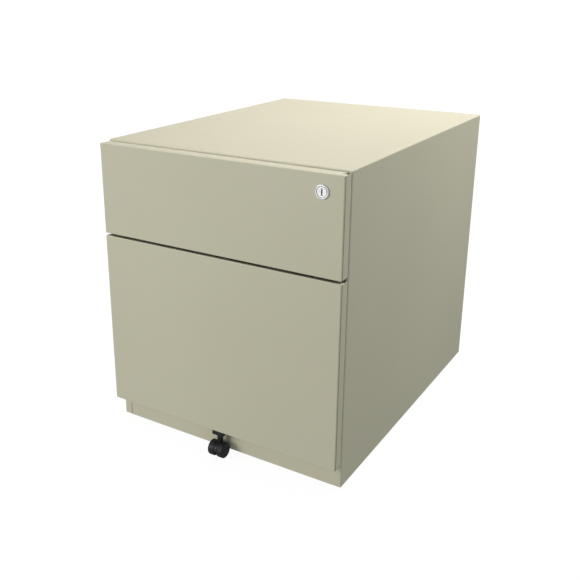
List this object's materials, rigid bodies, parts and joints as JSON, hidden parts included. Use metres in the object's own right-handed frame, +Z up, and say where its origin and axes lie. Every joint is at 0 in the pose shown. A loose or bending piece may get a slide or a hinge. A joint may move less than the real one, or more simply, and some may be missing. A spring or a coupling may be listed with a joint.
{
  "type": "pedestal filing cabinet",
  "caption": "Low painted steel pedestal cabinet with a box drawer over a filing drawer, key lock, hidden castors and a front stabilising castor.",
  "frame": {"origin": "on the floor, below the middle of the overall box", "axes": "+X to the right seen from the front, drawers open towards -Y, +Z up"},
  "size_m": [0.42, 0.5722, 0.495],
  "materials": {
    "paint": "satin powder coat, fine orange peel",
    "tray_paint": "satin powder coat",
    "zinc": "bright zinc plate",
    "chrome": "satin nickel",
    "black_nylon": "matt moulded nylon",
    "rubber": "matt"
  },
  "bodies": {
    "cabinet": {"outer_wrap": "paint", "back_panel": "paint", "base_pan": "paint", "front_plinth": "paint", "top_front_rail": "paint", "runner_uprights": "zinc", "slide_screws": "zinc", "upper_left_slide_outer": "zinc", "upper_right_slide_outer": "zinc", "lower_left_slide_outer": "zinc", "lower_right_slide_outer": "zinc", "castor_heads": "black_nylon", "castor_screws": "zinc", "lock_bar_guides": "zinc"},
    "upper_drawer": {"upper_front_outer": "paint", "upper_front_inner": "paint", "upper_tray": "tray_paint", "upper_front_screws": "zinc", "upper_tray_rivets": "zinc", "upper_buffers": "rubber", "upper_lock_catch": "zinc", "upper_left_slide_inner": "zinc", "upper_right_slide_inner": "zinc", "lock_barrel": "chrome", "lock_nut": "zinc"},
    "upper_slide_middles": {"upper_left_slide_middle": "zinc", "upper_right_slide_middle": "zinc"},
    "upper_outer_cages": {"upper_slide_outer_cages": "zinc"},
    "upper_inner_cages": {"upper_slide_inner_cages": "zinc"},
    "lower_drawer": {"lower_front_outer": "paint", "lower_front_inner": "paint", "lower_tray": "tray_paint", "lower_front_screws": "zinc", "lower_tray_rivets": "zinc", "lower_buffers": "rubber", "lower_lock_catch": "zinc", "lower_left_slide_inner": "zinc", "lower_right_slide_inner": "zinc", "filing_rails": "zinc", "fifth_castor_head": "black_nylon", "fifth_castor_screws": "zinc"},
    "lower_slide_middles": {"lower_left_slide_middle": "zinc", "lower_right_slide_middle": "zinc"},
    "lower_outer_cages": {"lower_slide_outer_cages": "zinc"},
    "lower_inner_cages": {"lower_slide_inner_cages": "zinc"},
    "lock_plug": {"lock_plug": "chrome", "lock_cam": "zinc"},
    "lock_bar": {"lock_bar": "zinc"},
    "front_left_castor": {"front_left_castor_fork": "black_nylon"},
    "front_left_wheels": {"front_left_castor_wheels": "black_nylon"},
    "front_right_castor": {"front_right_castor_fork": "black_nylon"},
    "front_right_wheels": {"front_right_castor_wheels": "black_nylon"},
    "rear_left_castor": {"rear_left_castor_fork": "black_nylon"},
    "rear_left_wheels": {"rear_left_castor_wheels": "black_nylon"},
    "rear_right_castor": {"rear_right_castor_fork": "black_nylon"},
    "rear_right_wheels": {"rear_right_castor_wheels": "black_nylon"},
    "fifth_castor": {"fifth_castor_fork": "black_nylon", "fifth_castor_axle": "zinc"},
    "fifth_left_wheel": {"fifth_castor_left_wheel": "black_nylon"},
    "fifth_right_wheel": {"fifth_castor_right_wheel": "black_nylon"}
  },
  "joints": [
    {"name": "upper_drawer_slide", "type": "slide", "parent": "cabinet", "child": "upper_drawer", "axis": [0, -1, 0], "range_m": [0, 0.45]},
    {"name": "upper_slide_middles_slide", "type": "slide", "parent": "cabinet", "child": "upper_slide_middles", "axis": [0, -1, 0], "range_m": [0, 0.225]},
    {"name": "upper_outer_cages_slide", "type": "slide", "parent": "cabinet", "child": "upper_outer_cages", "axis": [0, -1, 0], "range_m": [0, 0.1125]},
    {"name": "upper_inner_cages_slide", "type": "slide", "parent": "cabinet", "child": "upper_inner_cages", "axis": [0, -1, 0], "range_m": [0, 0.3375]},
    {"name": "lower_drawer_slide", "type": "slide", "parent": "cabinet", "child": "lower_drawer", "axis": [0, -1, 0], "range_m": [0, 0.45]},
    {"name": "lower_slide_middles_slide", "type": "slide", "parent": "cabinet", "child": "lower_slide_middles", "axis": [0, -1, 0], "range_m": [0, 0.225]},
    {"name": "lower_outer_cages_slide", "type": "slide", "parent": "cabinet", "child": "lower_outer_cages", "axis": [0, -1, 0], "range_m": [0, 0.1125]},
    {"name": "lower_inner_cages_slide", "type": "slide", "parent": "cabinet", "child": "lower_inner_cages", "axis": [0, -1, 0], "range_m": [0, 0.3375]},
    {"name": "lock_turn", "type": "hinge", "parent": "upper_drawer", "child": "lock_plug", "pos_m": [0.1777, -0.27887, 0.4672], "axis": [0, 1, 0], "range_deg": [0, 90]},
    {"name": "lock_bar_drop", "type": "slide", "parent": "cabinet", "child": "lock_bar", "axis": [0, 0, -1], "range_m": [0, 0.0099]},
    {"name": "front_left_castor_swivel", "type": "hinge", "parent": "cabinet", "child": "front_left_castor", "pos_m": [-0.17, -0.20738, 0.0382], "axis": [0, 0, 1], "continuous": true},
    {"name": "front_left_wheels_roll", "type": "hinge", "parent": "front_left_castor", "child": "front_left_wheels", "pos_m": [-0.17, -0.21188, 0.01275], "axis": [1, 0, 0], "continuous": true},
    {"name": "front_right_castor_swivel", "type": "hinge", "parent": "cabinet", "child": "front_right_castor", "pos_m": [0.17, -0.20738, 0.0382], "axis": [0, 0, 1], "continuous": true},
    {"name": "front_right_wheels_roll", "type": "hinge", "parent": "front_right_castor", "child": "front_right_wheels", "pos_m": [0.17, -0.21188, 0.01275], "axis": [1, 0, 0], "continuous": true},
    {"name": "rear_left_castor_swivel", "type": "hinge", "parent": "cabinet", "child": "rear_left_castor", "pos_m": [-0.17, 0.23613, 0.0382], "axis": [0, 0, 1], "continuous": true},
    {"name": "rear_left_wheels_roll", "type": "hinge", "parent": "rear_left_castor", "child": "rear_left_wheels", "pos_m": [-0.17, 0.23162, 0.01275], "axis": [1, 0, 0], "continuous": true},
    {"name": "rear_right_castor_swivel", "type": "hinge", "parent": "cabinet", "child": "rear_right_castor", "pos_m": [0.17, 0.23613, 0.0382], "axis": [0, 0, 1], "continuous": true},
    {"name": "rear_right_wheels_roll", "type": "hinge", "parent": "rear_right_castor", "child": "rear_right_wheels", "pos_m": [0.17, 0.23162, 0.01275], "axis": [1, 0, 0], "continuous": true},
    {"name": "fifth_castor_swivel", "type": "hinge", "parent": "lower_drawer", "child": "fifth_castor", "pos_m": [0, -0.26887, 0.0423], "axis": [0, 0, 1], "range_deg": [-20, 20]},
    {"name": "fifth_left_wheel_roll", "type": "hinge", "parent": "fifth_castor", "child": "fifth_left_wheel", "pos_m": [-0.00838, -0.27337, 0.01685], "axis": [1, 0, 0], "continuous": true},
    {"name": "fifth_right_wheel_roll", "type": "hinge", "parent": "fifth_castor", "child": "fifth_right_wheel", "pos_m": [0.00838, -0.27337, 0.01685], "axis": [1, 0, 0], "continuous": true}
  ],
  "couplings": [
    {"joint": "upper_slide_middles_slide", "follows": "upper_drawer_slide", "ratio": 0.5},
    {"joint": "upper_outer_cages_slide", "follows": "upper_drawer_slide", "ratio": 0.25},
    {"joint": "upper_inner_cages_slide", "follows": "upper_drawer_slide", "ratio": 0.75},
    {"joint": "lower_slide_middles_slide", "follows": "lower_drawer_slide", "ratio": 0.5},
    {"joint": "lower_outer_cages_slide", "follows": "lower_drawer_slide", "ratio": 0.25},
    {"joint": "lower_inner_cages_slide", "follows": "lower_drawer_slide", "ratio": 0.75},
    {"joint": "lock_turn", "follows": "lock_bar_drop", "rad_per_m": 158.67}
  ]
}
